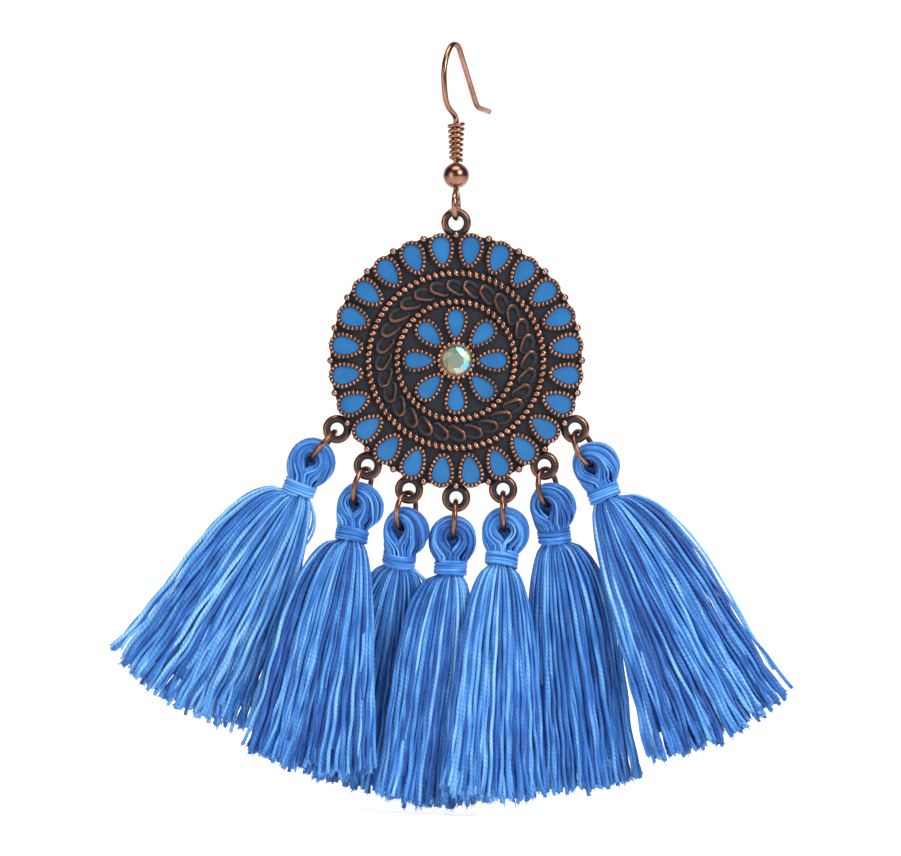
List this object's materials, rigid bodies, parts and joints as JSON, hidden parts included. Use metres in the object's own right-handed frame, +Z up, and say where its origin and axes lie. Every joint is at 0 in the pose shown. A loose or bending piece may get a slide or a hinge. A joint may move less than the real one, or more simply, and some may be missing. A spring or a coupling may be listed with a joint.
{
  "type": "tassel earring",
  "caption": "Drop earring: fish-hook ear wire with coil and bead, round enamelled medallion with rope and chain rings, and a fan of thread tassels on jump rings.",
  "frame": {"origin": "seat of the ear wire: the underside of the wire at the top of its bend, where it rests in the ear", "axes": "+Z up, +Y to the back, +X to the right as the front is seen; the medallion faces -Y"},
  "size_m": [0.0785, 0.0139, 0.0885],
  "materials": {
    "copper": "antique copper plating, worn bright on the high points and dark in the hollows",
    "coil_copper": "darker copper wire, lightly polished on the turns",
    "enamel": "glossy opaque blue enamel, slightly hollow in each cell",
    "stone": "foiled, iridescent cut glass",
    "thread": "glossy twisted rayon thread"
  },
  "bodies": {
    "hook": {"ear_hook": "copper", "hook_coil": "coil_copper", "hook_bead": "copper"},
    "drop": {"medallion": "copper", "enamel_rim": "enamel", "enamel_flower": "enamel", "rhinestone": "stone", "jump_ring_1": "copper", "jump_ring_2": "copper", "jump_ring_3": "copper", "jump_ring_4": "copper", "jump_ring_5": "copper", "jump_ring_6": "copper", "jump_ring_7": "copper", "tassel_1": "thread", "tassel_2": "thread", "tassel_3": "thread", "tassel_4": "thread", "tassel_5": "thread", "tassel_6": "thread", "tassel_7": "thread", "tassel_wrap_1": "thread", "tassel_wrap_2": "thread", "tassel_wrap_3": "thread", "tassel_wrap_4": "thread", "tassel_wrap_5": "thread", "tassel_wrap_6": "thread", "tassel_wrap_7": "thread"}
  },
  "joints": [
    {"name": "drop_swing", "type": "hinge", "parent": "hook", "child": "drop", "pos_m": [0.00015, 0.00026, -0.01898], "axis": [1, 0, 0], "range_deg": [-60, 60]}
  ]
}
